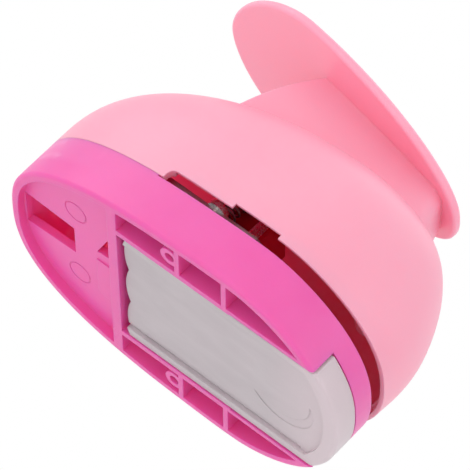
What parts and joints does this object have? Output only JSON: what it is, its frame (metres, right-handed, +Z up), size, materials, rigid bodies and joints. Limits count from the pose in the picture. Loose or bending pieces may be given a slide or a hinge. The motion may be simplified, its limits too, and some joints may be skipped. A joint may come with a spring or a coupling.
{
  "type": "corner rounder punch",
  "caption": "Lever craft punch that rounds paper corners: egg-shaped base with a pull-out chip tray, slotted domed housing, thumb lever, steel die set inside",
  "frame": {"origin": "on the table, under the middle of the base", "axes": "+X to the front where the paper goes in, +Y to the left, +Z up"},
  "size_m": [0.0859, 0.0568, 0.065],
  "materials": {
    "magenta_plastic": "satin moulded, deep pink",
    "pink_plastic": "satin moulded, pale pink",
    "clear_plastic": "milky translucent",
    "red_plastic": "moulded, dark red",
    "plate_steel": "ground, lightly oiled",
    "tool_steel": "hardened and ground",
    "bright_steel": "polished",
    "spring_steel": "drawn wire",
    "screw_steel": "zinc plated"
  },
  "bodies": {
    "frame": {"base_shell": "magenta_plastic", "housing_shell": "pink_plastic", "die_plate": "plate_steel", "guide_plate": "plate_steel", "paper_fence_right": "red_plastic", "paper_fence_left": "red_plastic", "guide_post_right": "bright_steel", "guide_post_left": "bright_steel", "post_clip_right": "spring_steel", "post_clip_left": "spring_steel", "return_spring_right": "spring_steel", "return_spring_left": "spring_steel", "die_set_screws": "screw_steel", "housing_screws": "screw_steel", "hinge_pin": "bright_steel"},
    "lever": {"lever": "pink_plastic"},
    "punch": {"press_block": "red_plastic", "punch_blade": "tool_steel", "punch_screws": "screw_steel", "spring_washer_right": "bright_steel", "spring_washer_left": "bright_steel"},
    "tray": {"chip_tray": "clear_plastic"}
  },
  "joints": [
    {"name": "lever_hinge", "type": "hinge", "parent": "frame", "child": "lever", "pos_m": [0.028, 0, 0.03], "axis": [0, -1, 0], "range_deg": [0, 12], "stiffness_Nm_per_rad": 0.72, "springref_deg": -7.62},
    {"name": "punch_slide", "type": "slide", "parent": "frame", "child": "punch", "axis": [0, 0, -1], "range_m": [0, 0.0063], "deforming": ["return_spring_right", "return_spring_left"]},
    {"name": "tray_slide", "type": "slide", "parent": "frame", "child": "tray", "axis": [1, 0, 0], "range_m": [0, 0.058]}
  ],
  "couplings": [
    {"joint": "punch_slide", "follows": "lever_hinge", "m_per_rad": 0.03}
  ]
}
